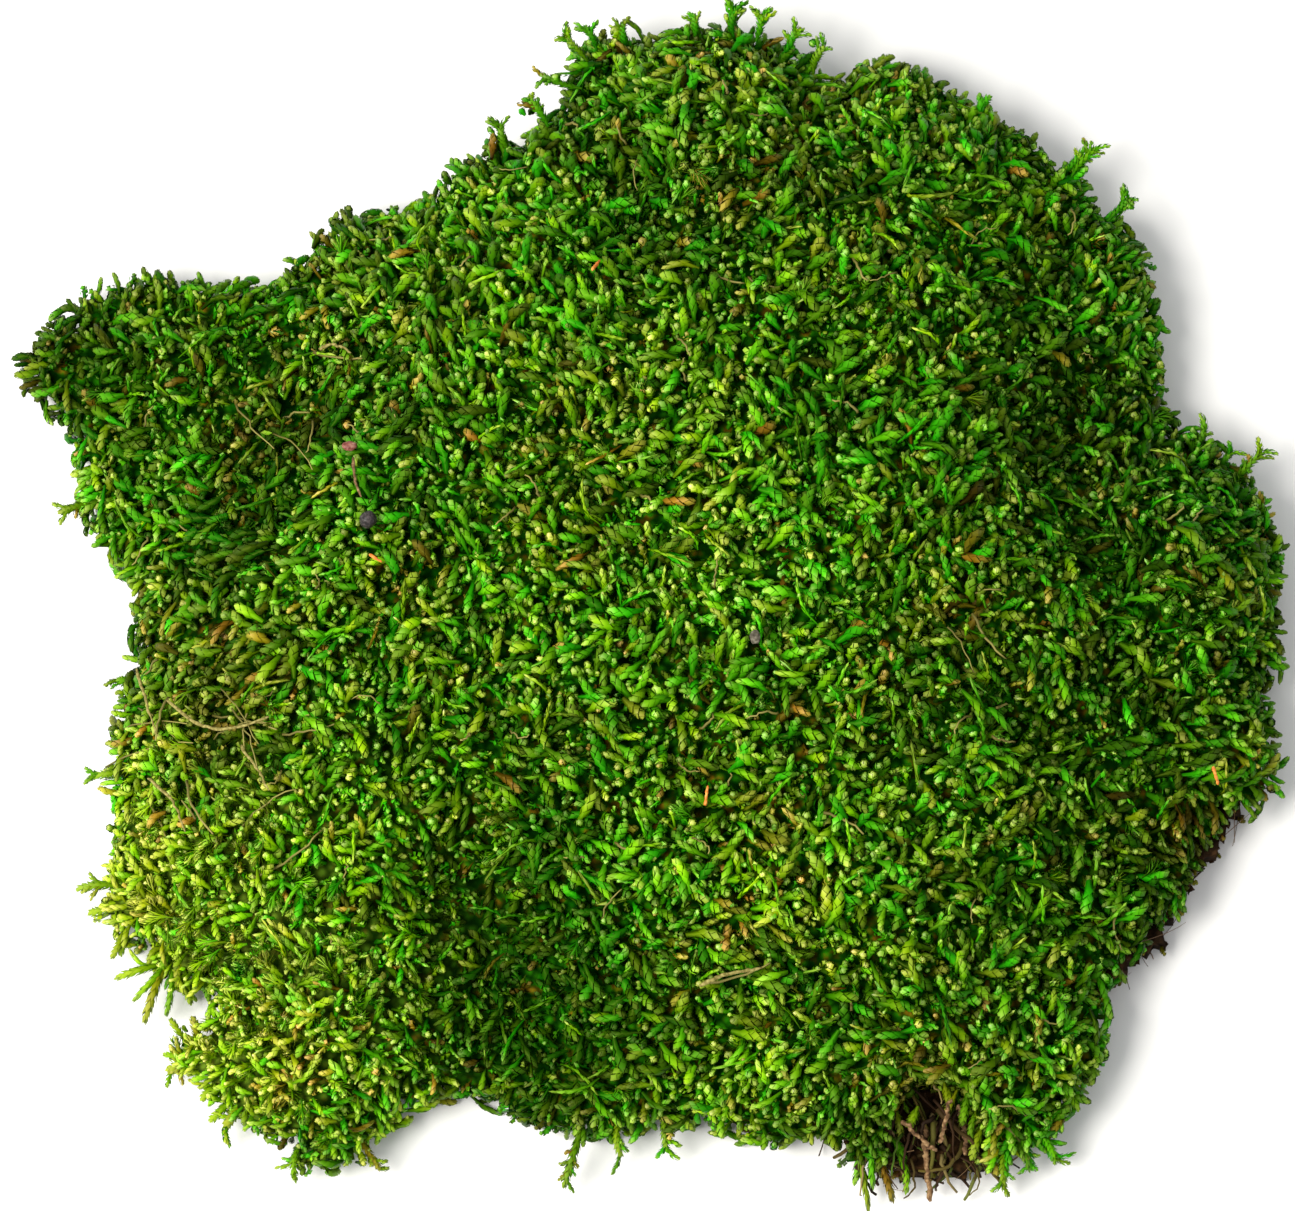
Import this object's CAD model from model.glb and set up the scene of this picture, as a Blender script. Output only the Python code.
"""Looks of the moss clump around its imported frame: leafy shoots, humus, roots, litter and light."""

import math
from itertools import product

import bmesh
import bpy
import numpy as np
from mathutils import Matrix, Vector
from mathutils.bvhtree import BVHTree
from mathutils.kdtree import KDTree


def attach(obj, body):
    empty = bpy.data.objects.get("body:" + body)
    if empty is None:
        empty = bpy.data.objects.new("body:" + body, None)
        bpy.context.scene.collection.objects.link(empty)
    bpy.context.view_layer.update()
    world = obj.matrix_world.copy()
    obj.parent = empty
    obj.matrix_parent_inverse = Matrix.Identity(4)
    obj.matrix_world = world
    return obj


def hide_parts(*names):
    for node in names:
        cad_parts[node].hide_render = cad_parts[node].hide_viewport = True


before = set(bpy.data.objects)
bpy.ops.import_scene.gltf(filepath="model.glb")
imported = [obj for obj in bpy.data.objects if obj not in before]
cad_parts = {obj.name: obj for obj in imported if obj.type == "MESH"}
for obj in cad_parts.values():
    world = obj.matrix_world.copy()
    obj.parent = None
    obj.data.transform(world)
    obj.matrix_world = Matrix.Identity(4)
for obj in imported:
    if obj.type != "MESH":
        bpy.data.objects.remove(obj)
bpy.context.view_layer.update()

MM = 0.001
UP = np.array([0.0, 0.0, 1.0])
AROUND = list(product((-1, 0, 1), repeat=3))
GROWING_LIGHT = np.array([-0.32, -0.17, 0.932])
GOLDEN_ANGLE = math.pi * (3.0 - math.sqrt(5.0))

# The photograph: a long lens, a little forward of straight above.
VIEW_ELEVATION = math.radians(72.0)
VIEW_DISTANCE = 2.0
FRAME_WIDTH = 0.2007
VIEW_TARGET = Vector((0.0, -0.0023, 0.015))
SENSOR_WIDTH = 36.0

# The soft studio: one large disk lamp at the upper left front, a pale world and a pale floor.
KEY_PLACE = (-0.85, -0.4, 1.08)
KEY_SIZE = 1.0
KEY_POWER = 31.5
KEY_COLOUR = (1.0, 0.97, 0.90)
WORLD_LIGHT = 0.65
FLOOR_SIZE = 6.0
FLOOR_GREY = 0.93

# The shoots. From here on all sizes and places are in millimetres.
SHOOT_SPACING = 1.56
SHOOT_BANDS = 5
SHOOT_LENGTH = (3.2, 6.0)
SHOOT_RADIUS = (0.56, 1.0)
LEAVES_PER_SHOOT = 17
LEAF_LENGTH = 0.32
LEAF_HALF_TURN = 0.80
LEAF_REACH = (0.70, 0.95, 1.04)
LOWEST_LEAF = 0.15
DEEP_SPACING = 1.5
DEEP_LENGTH = (2.2, 3.6)
YOUNG_SPACING = 3.7
SLENDER_COUNT = 800
TUFT_SPACING = 5.6
PATCH_SIZE = 15.0
HEM_HEIGHT = 6.0
ROUNDED_SHADING = 0.8
PIT_SHADE = 0.13
RIM_SHADE = 0.15

# The kinds of lesser shoots: template, ranges of tilt in degrees, length, radius and sink, curl, glow.
YOUNG = ((8, 0.5, 4, 2, 0.4), (25, 75), (2.2, 3.6), (0.42, 0.6), (-0.4, 0.6), 0.3, -0.04)
SLENDER = ((16, 0.1, 3, 4, 0.2), (68, 92), (4.5, 8.5), (0.3, 0.44), (-0.5, 0.4), 0.9, 0.1)
SPREADING_LEAVES = (28, 0.15, 3, 3, 0.5, 0.11, (0.2, 0.8, 1.8))
FEATHERY = (SPREADING_LEAVES, (10, 80), (3, 4.6), (0.9, 1.15), (-0.5, 0.3), 0.3, -0.08)

# The body of dead stems under the tips of the shoots.
UNDER_DEPTH = 3.2
UNDER_RIM_DEPTH = 1.6
UNDER_RIM_HEIGHT = 8.5
UNDER_GRID = 1.0
UNDER_BOTTOM = 5.4
UNDER_LOWEST_TOP = 5.8
UNDER_RELIEF = 0.6
UNDER_DENT = -0.1

# Sprigs that stick out of the rim; what is narrower than twice SPRIG_WIDTH counts as a sprig.
SPRIG_WIDTH = 3.2
SPRIG_RADIUS = 0.62
SPRIG_ROOT_DEPTH = 3.5
SPRIG_ROOT_HEIGHT = 7.5
INWARD_REACH = 10.0
HANGING_RADIUS = 0.66
SIDE_SHOOT = (1.6, 4.0)

# The humus mat and what lies in and on it.
HUMUS_GRID = 1.7
HUMUS_RELIEF = 0.8
RIM_REACH = 80.0
CAD_STEM_SIDES = 6
CRUMB_SPACING = 2.2
CRUMB_SIZE = (0.25, 0.9)
FIBRE_SPACING = 4.2
FIBRE_LENGTH = (4.0, 12.0)
FIBRE_RADIUS = (0.06, 0.2)
FIBRE_RINGS = 6
DEAD_SHOOT_SPACING = 2.6
STEM_RINGS = 9
WISP_COUNT = 70
WISP_RADIUS = (0.13, 0.26)

# The bare patch in the lower rim: x, y and radius, and the dead strands that hang across it.
BARE_PATCH = (44.0, -87.5, 15.0)
STRAND_COUNT = 86
STRAND_X = (32.0, 53.0)
STRAND_Y = (-90.5, -77.5)
STRAND_FOOT = 5.8
STRAND_SLOPE = 0.65
STRAND_RADIUS = (0.14, 0.5)

# The bumps on the seed, the bud scale and the bark flake.
BUMP_SIZE = 0.5

# The colours of a shoot from its root to its tip, and what shades them: place, red, green, blue.
GREEN = (0, 0.004, 0.13, 0.0008), (0.45, 0.012, 0.27, 0.002), (0.8, 0.06, 0.41, 0.01), (1, 0.27, 0.53, 0.11)
LIME = (0, 0.02, 0.125, 0.0004), (0.45, 0.13, 0.33, 0.0006), (0.8, 0.3, 0.5, 0.008), (1, 0.54, 0.62, 0.17)
OLIVE = (0, 0.085, 0.1, 0.0008), (0.5, 0.2, 0.225, 0.004), (1, 0.47, 0.45, 0.12)
BROWN = (0, 0.08, 0.03, 0.003), (0.6, 0.23, 0.11, 0.01), (1, 0.58, 0.38, 0.12)
EDGE_SHADE = (0, 0.76, 0.8, 0.48), (0.5, 0.88, 0.9, 0.66), (1, 1, 0.96, 0.92)
LIT_SHADE = (0.5, 0.46, 0.63, 0.23), (0.8, 0.82, 0.9, 0.52), (0.95, 0.98, 0.96, 1.2), (1, 1.08, 0.93, 2.5)
VIGOUR_SHADE = (0, 0.16, 0.2, 0.14), (1, 1.7, 1.6, 1.6)

# Thin dry stems tangled in the moss on the left: x, y of both ends, bend to the side.
DRY_WISPS = [
    (-79, -18, -72, -26, 0.6), (-74, -18, -76, -25, -0.4), (-81, -21, -71, -23, 0.8),
    (-66, -18, -60, -28, 0.6), (-61, -21, -62, -28, -0.4), (-67, -22, -57, -26, 0.5),
    (-64, -22, -60, -32, 0.8), (-84, -26, -70, -26, 0.8), (-56, -27, -48, -26, -0.6),
    (-71, -32, -66, -43, -1), (-77, -34, -73, -46, 0.8), (-60, -49, -50, -42, -0.9),
    (-67, -26, -58, -25, 1), (-52, 38, -44, 36, -0.5), (8, -66, 19, -63, -0.6), (-62, -41, -54, -36, 0.7),
    (-58, 25, -52, 17, 0.7), (-64, 30, -58, 22, -0.6), (46, -12, 50, -18, 0.5), (50, -9, 55, -16, -0.5),
    (27, -41, 33, -44, 0.4),
]

# Rim sprigs, as in the CAD model: x, y, z of the tip and the number of twigs.
RIM_SPRIGS = [
    (-23, 78, 13, 1), (-19, 82, 14, 2), (-17, 86, 14, 1), (-13, 92.5, 13, 2), (-10, 94, 14, 1),
    (-4, 95, 13, 1), (7, 96.5, 13, 1), (14, 97, 14, 2), (18, 96, 14, 2), (23, 93.5, 13, 2), (28, 91, 13, 1),
    (54, 83, 12, 0), (69, 74.5, 12, 1), (71, 74, 13, 2), (76, 65.5, 13, 2), (87, 28.5, 9, 1),
    (91, 24.5, 9, 1), (96, 24.8, 9, 2), (63, -88.5, 4, 1), (59, -90, 4, 1), (55, -93, 4, 1), (3, -87, 4, 1),
    (-4, -88, 4, 1), (-13, -93, 4, 2), (-41, -90, 4, 1), (-54, -92, 4, 1), (-65, -83, 4, 1),
    (-74, -74.5, 4, 1), (-86.5, -48.8, 4, 0), (-88.5, -45.3, 5, 1), (-86.5, -27, 5, 1), (-82.5, -12, 7, 1),
    (-92, 15, 8, 1),
]

# Plump shoots that hang over the rim: x, y, z of root and tip.
HANGING_SHOOTS = [
    (31.5, -83.5, 8, 34, -96.4, 3), (33, -83, 8, 31.8, -92.4, 4), (34.5, -84, 8, 34.6, -93, 4),
    (35.3, -88, 6, 37.7, -94.8, 3), (38, -87.5, 7, 39.7, -93.5, 3), (37.4, -86, 8, 39.2, -89.4, 5),
    (52, -83.5, 8, 54.7, -92.4, 4), (56.3, -86, 8, 55.2, -91.4, 5), (57.5, -84, 8, 58.7, -90.2, 4),
    (60, -85.5, 7, 62.5, -88.2, 3), (64, -82.5, 7, 61, -85.5, 5), (52.5, -81, 11, 51.3, -85.5, 8),
    (45.5, -78.5, 13, 46.6, -81, 10), (41.5, -82, 12, 40, -84.5, 9), (49, -80, 12, 48.2, -84.2, 9),
    (51, -82, 11, 49.6, -86.8, 8), (51.5, -84, 9, 49.8, -89, 6), (47.5, -79.5, 12, 45.6, -83, 10),
    (37.5, -82, 11, 38.8, -86, 8), (-80.9, -51.8, 7, -82.9, -55.7, 3), (-79.4, -53.1, 6, -81.4, -55.4, 3),
    (-74.6, -57.9, 7, -82.2, -59.3, 4), (-74.4, -58, 7, -79.5, -62.7, 3),
    (-74.2, -57.6, 7, -77.7, -66.3, 3), (-73.6, -57.6, 7, -74.4, -65.1, 3),
    (-71.4, -58, 7, -70.5, -63.2, 3), (-68.6, -58, 7, -67.7, -62.7, 3), (-70.8, -70.2, 6, -73.6, -66, 5),
    (-69.3, -71, 6, -70.2, -66, 6), (-70.1, -73.1, 5, -74.7, -71.5, 4), (-69.3, -73.5, 5, -74.2, -74.1, 4),
    (-73.2, -56.2, 8, -75.5, -59.6, 6), (-70.8, -57, 8, -72.7, -61.2, 6),
    (-68.5, -57.8, 8, -69.6, -61.7, 6), (-74.7, -55.4, 8, -77, -58, 6), (-67, -59.4, 8, -67.4, -62.4, 6),
    (-65.9, -77.5, 6, -68.7, -78.7, 3), (-63.9, -79.2, 6, -67.4, -81.9, 3),
    (-62.3, -80, 6, -64.9, -83.6, 3),
]

# Patches with many dead or olive shoots: x, y, radius.
DRY_PATCHES = [
    (-60, 28, 16), (-69, -10, 14), (-62, -22, 12), (50, -6, 12), (-14, 20, 9), (-37, -3, 8), (24, -26, 8),
    (42, -76, 12), (84, -38, 10), (-55, -78, 10), (12, 62, 10), (34, 62, 9), (18, -43, 10),
]

# Patches where shoots carry fine spreading leaves.
FEATHERY_PATCHES = [
    (14, -29, 11), (24, 2, 8), (46, 72, 16), (86, -8, 13), (-30, -40, 10), (8, 62, 9), (-12, 18, 8),
    (60, -60, 10), (-66, -64, 34), (-80, -42, 18),
]

# Hollows where the shoots stand back: x, y, radius, depth.
HOLLOWS = [
    (-26, -50, 9, 2.4), (-22, -60, 8, 2.2), (-37, -73, 8, 2.2), (-17, -68, 9, 2), (32, 61, 8, 2.2),
    (1, 66, 6, 2), (65, 10, 9, 2), (72, 2, 8, 2), (50, -13, 7, 2), (-62, 38, 8, 2), (-53, 28, 7, 2),
    (-80, 34, 6, 1.8), (-10, -77, 8, 1.8), (58, 42, 7, 1.8), (-58, -29, 6, 1.6), (78, -30, 6, 1.6),
]

# Parts of the carpet's lower left: bleached, with finer shoots, lime, and olive by the amount at the end.
PALE_REGION = (-72, -62, 58)
FINE_REGION = (-62, -62, 50)
LIME_REGION = (-62, -55, 60)
OLIVE_REGIONS = [(-84, -52, 42, 0.35), (-60, -80, 30, 0.15)]

# Where the seed, the bud scale and the bark flake rest on level moss: x, y, radius, rise of the shoots.
REST_SPOTS = [(-43, 5.7, 8, 1.9), (-46, 19, 6, 0.8), (16.5, -13.8, 6, 0.8)]

# Patches where the shoots stand further apart, with dark gaps between them.
OPEN_PATCHES = [(-72, 34, 34), (78, 4, 30), (50, 56, 34), (-18, -66, 22), (70, -40, 20)]

# Patches lighter or darker than the rest: x, y, radius, amount.
LIGHT_PATCHES = [
    (-62, -48, 46, 0.22), (-64, -76, 30, 0.42), (-84, -34, 18, 0.48), (-84, -52, 16, 0.56),
    (-44, -79, 20, 0.52), (-72, -63, 14, 0.2), (14, -1, 23, 0.46), (14, 20, 14, 0.25), (18, -52, 22, 0.28),
    (16, -80, 18, 0.12), (65, -74, 16, 0.34), (48, -87, 16, 0.3), (16, 83, 18, 0.42), (95, -22, 14, 0.2),
    (-46, -24, 12, 0.28), (-57, -39, 12, 0.2), (-1, -41, 13, 0.4), (55, 27, 16, 0.18), (44, 76, 14, 0.2),
    (75, 46, 12, 0.32), (-87, 20, 10, 0.3), (44, 62, 24, 0.2), (-15, 69, 10, 0.25), (14, 70, 10, 0.22),
    (68, 22, 28, -0.3), (58, 54, 22, -0.2), (-56, 27, 22, -0.27), (74, -38, 22, -0.25), (-65, 6, 15, -0.48),
    (-24, -55, 14, -0.4), (-17, -72, 24, -0.52), (-16, -38, 18, -0.3), (-61, -29, 16, -0.48),
    (-38, -31, 12, -0.2), (-34, 13, 18, -0.18), (-90, 40, 19, -0.44), (-98, 37, 12, -0.25),
    (0, 54, 20, -0.24), (35, 64, 15, -0.4), (27, 26, 14, -0.3), (48, -21, 15, -0.27), (62, -17, 16, -0.24),
    (33, -88, 11, -0.4), (92, -34, 14, -0.18), (-69, -17, 9, -0.3), (-57, -88, 10, -0.6),
    (80, -21, 11, -0.28), (74, 6, 10, -0.25), (-57, -63, 11, -0.25), (64, -52, 10, -0.25),
    (-27, 73, 9, -0.2), (-8, 80, 12, -0.22), (-7, 4, 10, -0.18), (-7, -61, 9, -0.16),
]

# Patches yellower or, below zero, greener than the rest: x, y, radius, amount.
HUE_PATCHES = [
    (18, -42, 14, 0.4), (-47, -9, 14, 0.4), (64, -18, 16, 0.4), (82, -18, 12, 0.4), (-29, -18, 12, 0.4),
    (-27, 49, 12, 0.4), (-16, 0, 16, 0.4), (16, -76, 12, 0.4), (62, 66, 10, 0.4), (-98, 36, 10, 0.4),
    (-84, -40, 20, 0.4), (-68, -70, 26, 0.4), (14, -30, 10, 0.3), (14, 33, 9, 0.3), (70, 22, 36, -0.45),
    (-65, -10, 16, -0.5), (-14, -44, 18, -0.4), (-37, 24, 12, -0.4), (8, 70, 20, -0.4),
    (-52, -63, 24, -0.5), (40, 28, 16, -0.3),
]

# The skins of the litter: slot, kind, roughness, grains a metre, and colours from dark to light.
LITTER_SKINS = [
    ("dead_root", "skin", 0.8, 1500, (0.04, 0.018, 0.008), (0.16, 0.085, 0.035), (0.36, 0.23, 0.11)),
    ("dry_stem", "skin", 0.6, 1800, (0.1, 0.08, 0.012), (0.22, 0.185, 0.045), (0.38, 0.33, 0.11)),
    ("dead_needle", "skin", 0.5, 1500, (0.42, 0.09, 0.01), (0.68, 0.19, 0.025), (0.85, 0.38, 0.08)),
    ("seed", "coat", 0.35, 2200, (0.009, 0.008, 0.009), (0.024, 0.02, 0.02), (0.08, 0.064, 0.064)),
    ("bud_scale", "skin", 0.4, 1800, (0.1, 0.02, 0.016), (0.21, 0.065, 0.048), (0.38, 0.21, 0.15)),
    ("bark", "skin", 0.85, 1800, (0.035, 0.03, 0.02), (0.1, 0.088, 0.062), (0.23, 0.21, 0.16)),
]


def unit(vectors):
    return vectors / np.maximum(np.linalg.norm(vectors, axis=-1, keepdims=True), 1e-9)


def smoothstep(values):
    values = np.clip(values, 0.0, 1.0)
    return values * values * (3.0 - 2.0 * values)


def arc(start, bend, end, t):
    """A quadratic arc from start to end, pulled towards bend."""
    return (1 - t) ** 2 * start + 2 * t * (1 - t) * bend + t**2 * end


def value_noise(points, size, seed):
    """Smooth noise from -1 to 1 at points, with lumps of the given size."""
    scaled = np.asarray(points, float) / size
    cell = np.floor(scaled).astype(np.int64)
    share = smoothstep(scaled - cell)
    total = np.zeros(len(scaled))
    for corner in product((0, 1), repeat=3):
        place = cell + np.array(corner)
        mixed = place @ np.array([73856093, 19349663, 83492791]) + seed * 7919
        mixed = (mixed ^ (mixed >> 13)) * 1274126177 & 0x7FFFFFFF
        value = ((mixed ^ (mixed >> 11)) % 10007) / 5003.0 - 1.0
        weight = np.prod(np.where(np.array(corner), share, 1.0 - share), axis=1)
        total += weight * value
    return total


def away_from(places, x, y):
    return np.hypot(places[:, 0] - x, places[:, 1] - y)


def region(places, x, y, radius):
    """1 at a place seen from above, falling to 0 at its radius."""
    return smoothstep(1.0 - away_from(places, x, y) / radius)


def patched(values, places, patches):
    """Values changed around each patch by its amount."""
    for *spot, amount in patches:
        values = values + amount * region(places, *spot)
    return values


def grid_places(axis, height):
    """Rows of x, y and height over a square grid."""
    return np.array([(*spot, z) for spot, z in zip(product(axis, axis), height.reshape(-1))])


def copies(faces, count, size):
    """The faces of equal meshes that follow each other, each with size points."""
    return (np.array(faces)[None] + (np.arange(count) * size)[:, None, None]).reshape(-1, 3)


def node_mesh(name):
    """The points and triangles of a CAD node."""
    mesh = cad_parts[name].data
    mesh.calc_loop_triangles()
    points = np.array([vertex.co for vertex in mesh.vertices]) / MM
    triangles = np.array([tuple(triangle.vertices) for triangle in mesh.loop_triangles])
    points, merged = np.unique(np.round(points, 4), axis=0, return_inverse=True)
    return points, merged.reshape(-1)[triangles]


def surface_tree(points, triangles):
    return BVHTree.FromPolygons([tuple(p) for p in points], [tuple(t) for t in triangles])


def height_at(tree, x, y):
    """The top height of a surface over a place, -1 where there is none."""
    hit = tree.ray_cast(Vector((x, y, 100.0)), Vector((0, 0, -1)))[0]
    return -1.0 if hit is None else hit.z


def height_map(tree, axis):
    return np.array([[height_at(tree, x, y) for y in axis] for x in axis])


def crossed(corners):
    """The normal of each triangle, as long as twice its area."""
    return np.cross(corners[:, 1] - corners[:, 0], corners[:, 2] - corners[:, 0])


def broad_normals(points, triangles, rounds):
    """Vertex normals smoothed over the surface, so that single tufts don't turn them."""
    face_normals = crossed(points[triangles])
    normals = np.zeros_like(points)
    for k in range(3):
        np.add.at(normals, triangles[:, k], face_normals)
    normals = unit(normals)
    for _ in range(rounds):
        spread = normals.copy()
        for k, step in product(range(3), (1, 2)):
            np.add.at(spread, triangles[:, k], normals[triangles[:, (k + step) % 3]])
        normals = unit(spread)
    return normals


def thin_out(places, spacing):
    """Indices of places that are all at least spacing apart, found through a grid of cells."""
    cells = {}
    kept = []
    keys = np.floor(places / spacing).astype(int).tolist()
    for i, ((x, y, z), place) in enumerate(zip(keys, places.tolist())):
        near = (other for dx, dy, dz in AROUND for other in cells.get((x + dx, y + dy, z + dz), ()))
        if all(math.dist(place, other) >= spacing for other in near):
            cells.setdefault((x, y, z), []).append(place)
            kept.append(i)
    return np.array(kept)


def scatter(points, triangles, normals, spacing, rng):
    """Evenly scattered places on the surface, at least spacing apart, with their normals."""
    corners = points[triangles]
    areas = np.linalg.norm(crossed(corners), axis=1) / 2.0
    tries = int(areas.sum() / spacing**2 * 5.0)
    chosen = rng.choice(len(triangles), tries, p=areas / areas.sum())
    a, b = rng.random(tries), rng.random(tries)
    flip = a + b > 1.0
    a[flip], b[flip] = 1.0 - a[flip], 1.0 - b[flip]
    weights = np.stack([1.0 - a - b, a, b], axis=1)[:, :, None]
    places = (corners[chosen] * weights).sum(axis=1)
    facing = unit((normals[triangles[chosen]] * weights).sum(axis=1))
    kept = thin_out(places, spacing)
    return places[kept], facing[kept]


def add_object(name, data):
    made = bpy.data.objects.new(name, data)
    bpy.context.scene.collection.objects.link(made)
    return made


def mesh_object(name, part, points, faces, attributes=None, uv=None):
    """A new piece from arrays: points, triangles, point attributes and a texture map.

    part is the CAD node that it stands for, its slot and its material."""
    node, slot, material = part
    mesh = bpy.data.meshes.new(name)
    mesh.from_pydata((points * MM).tolist(), [], faces.tolist(), shade_flat=False)
    for key, values in (attributes or {}).items():
        layer = mesh.attributes.new(key, "FLOAT", "POINT")
        layer.data.foreach_set("value", values.astype(np.float32))
    if uv is not None:
        layer = mesh.uv_layers.new(name="OFBake")
        layer.data.foreach_set("uv", uv[faces].astype(np.float32).reshape(-1))
    mesh.validate()
    mesh.materials.append(material)
    piece = add_object(name, mesh)
    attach(piece, "root")
    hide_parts(node)
    return piece


def shoot_template(leaves, first_leaf, core_sides, core_rings, leaf_length=LEAF_LENGTH,
                   half_turn=LEAF_HALF_TURN, reach_out=LEAF_REACH):
    """One shoot in its own terms: along the stem, out from it, around it, leaf base to tip, and triangles.

    The leaves are kites folded on their midrib, in a golden-angle spiral, that overlap like scales."""
    points, faces = [], []

    def width(t):
        rounded = math.sqrt(max(1.0 - max((t - 0.76) / 0.27, 0.0) ** 2, 0.04))
        return rounded * (0.6 + 0.4 * min(t / 0.45, 1.0))

    for ring, side in product(range(core_rings), range(core_sides)):
        t = 0.97 * ring / (core_rings - 1)
        points.append((t, 1.1 * reach_out[0] * width(t), math.tau * side / core_sides, 0.5))
    for ring, side in product(range(core_rings - 1), range(core_sides)):
        a = ring * core_sides + side
        b = ring * core_sides + (side + 1) % core_sides
        faces += [(a, b, b + core_sides), (a, b + core_sides, a + core_sides)]
    top = (core_rings - 1) * core_sides
    points.append((1.0, 0.0, 0.0, 0.6))
    faces += [(top + side, top + (side + 1) % core_sides, top + core_sides) for side in range(core_sides)]
    for leaf in range(leaves):
        t = first_leaf + (0.90 - first_leaf) * leaf / (leaves - 1)
        turn = leaf * GOLDEN_ANGLE
        length = leaf_length * (1.0 - 0.4 * t)
        middle = t + 0.5 * length
        tip = min(t + length, 1.02)
        first = len(points)
        points += [
            (t, reach_out[0] * width(t), turn, 0.0),
            (middle, reach_out[1] * width(middle), turn - half_turn, 0.5),
            (tip, reach_out[2] * width(tip), turn, 1.0),
            (middle, reach_out[1] * width(middle), turn + half_turn, 0.5),
        ]
        faces += [(first, first + 3, first + 2), (first, first + 2, first + 1)]
    return *(np.array(column) for column in zip(*points)), np.array(faces)


def shoot_map(around, attributes, count):
    """The texture map of shoots: a square cell for each, along it and around it."""
    grid = math.ceil(math.sqrt(count))
    cell = np.stack([np.arange(count) % grid, np.arange(count) // grid], axis=1)
    inside = np.stack([attributes["along"], 0.7 * attributes["exposed"] + 0.3 * attributes["edge"]], axis=1)
    inside[:, 0] = inside[:, 0] / 1.15 + 0.06 * np.tile(np.sign(np.round(np.sin(around * 7.0), 3)), count)
    return (np.repeat(cell, len(around), axis=0) + 0.1 + 0.8 * np.clip(inside, 0.0, 1.0)) / grid


def grow_shoots(name, part, template, stems, colours, rng, rounded=ROUNDED_SHADING):
    """Bends one copy of the template along each stem from root to tip, and joins them all in one piece.

    stems holds roots, first directions, tips and radii; colours holds each paint, one value a shoot.
    The shading of the leaves turns to that of a round shoot, as light soaks through wet leaves."""
    roots, lean, tips, radii = stems
    along, out, around, edge, faces = template
    count, size = len(roots), len(along)
    length = np.linalg.norm(tips - roots, axis=1)[:, None]
    bend = roots + unit(lean) * length * 0.5
    t = along[None, :, None]
    spine = arc(roots[:, None], bend[:, None], tips[:, None], t)
    tangent = unit(2 * (1 - t) * (bend - roots)[:, None] + 2 * t * (tips - bend)[:, None])
    seed_side = unit(rng.normal(size=(count, 3)))[:, None]
    side = unit(seed_side - tangent * (seed_side * tangent).sum(axis=2, keepdims=True))
    other = np.cross(tangent, side)
    angle = around[None, :, None] + rng.uniform(0, math.tau, count)[:, None, None]
    reach = out[None, :, None] * radii[:, None, None]
    outward = np.cos(angle) * side + np.sin(angle) * other
    points = (spine + reach * outward).reshape(-1, 3)
    points[:, 2] = np.maximum(points[:, 2], LOWEST_LEAF)
    domed = np.where(out > 0.0, np.clip((along - 0.7) / 0.35, 0.0, 0.9), 1.0)[None, :, None]
    outward = (outward * np.sqrt(1.0 - domed**2) + tangent * domed).reshape(-1, 3)
    all_faces = copies(faces, count, size)
    attributes = {"along": np.tile(along, count), "edge": np.tile(edge, count)}
    attributes["exposed"] = 0.5 + 0.5 * outward @ GROWING_LIGHT
    for paint, values in colours.items():
        attributes[paint] = np.repeat(np.clip(values, 0.0, 1.0), size)
    mesh = mesh_object(name, part, points, all_faces, attributes, shoot_map(around, attributes, count)).data
    plain = np.empty(points.shape, np.float32)
    mesh.vertex_normals.foreach_get("vector", plain.reshape(-1))
    mesh.normals_split_custom_set_from_vertices(unit(rounded * outward + (1.0 - rounded) * plain))


def tubes(routes, radii, sides):
    """Tubes of equal point counts, with how far along each point is, from 0 to 1."""
    count, rings = routes.shape[:2]
    tangent = unit(np.gradient(routes, axis=1))
    helper = np.where(np.abs(tangent[..., 2:]) > 0.9, np.array([1.0, 0.0, 0.0]), UP)
    side = unit(np.cross(tangent, helper))
    other = np.cross(tangent, side)
    angle = np.arange(sides) * math.tau / sides
    ring = np.cos(angle)[:, None] * side[:, :, None] + np.sin(angle)[:, None] * other[:, :, None]
    points = routes[:, :, None] + ring * radii[:, :, None, None]
    start = np.arange(rings - 1)[:, None] * sides
    corner = start + np.arange(sides)[None]
    beside = start + (np.arange(sides)[None] + 1) % sides
    low = np.stack([corner, beside, beside + sides], axis=-1).reshape(-1, 3)
    high = np.stack([corner, beside + sides, corner + sides], axis=-1).reshape(-1, 3)
    fan = np.array([(0, k + 1, k) for k in range(1, sides - 1)])
    faces = np.concatenate([low, high, fan, (rings - 1) * sides + fan[:, ::-1]])
    along = np.tile(np.repeat(np.linspace(0.0, 1.0, rings), sides), count)
    return points.reshape(-1, 3), copies(faces, count, rings * sides), {"along": along}


def strands(spans, rings, sides, radius, taper, rng, jitter=None, lowest=-np.inf):
    """Thin tubes along arcs, that narrow to the share taper: spans holds starts, ends and bends."""
    starts, ends, bends = spans
    t = np.linspace(0.0, 1.0, rings)[None, :, None]
    routes = arc(starts[:, None], bends[:, None], ends[:, None], t)
    if jitter:
        routes += jitter * rng.normal(size=routes.shape)
    routes[:, :, 2] = np.maximum(routes[:, :, 2], lowest)
    radii = rng.uniform(*radius, (len(routes), 1)) * np.linspace(1.0, taper, rings)[None]
    return tubes(routes, radii, sides)


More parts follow.
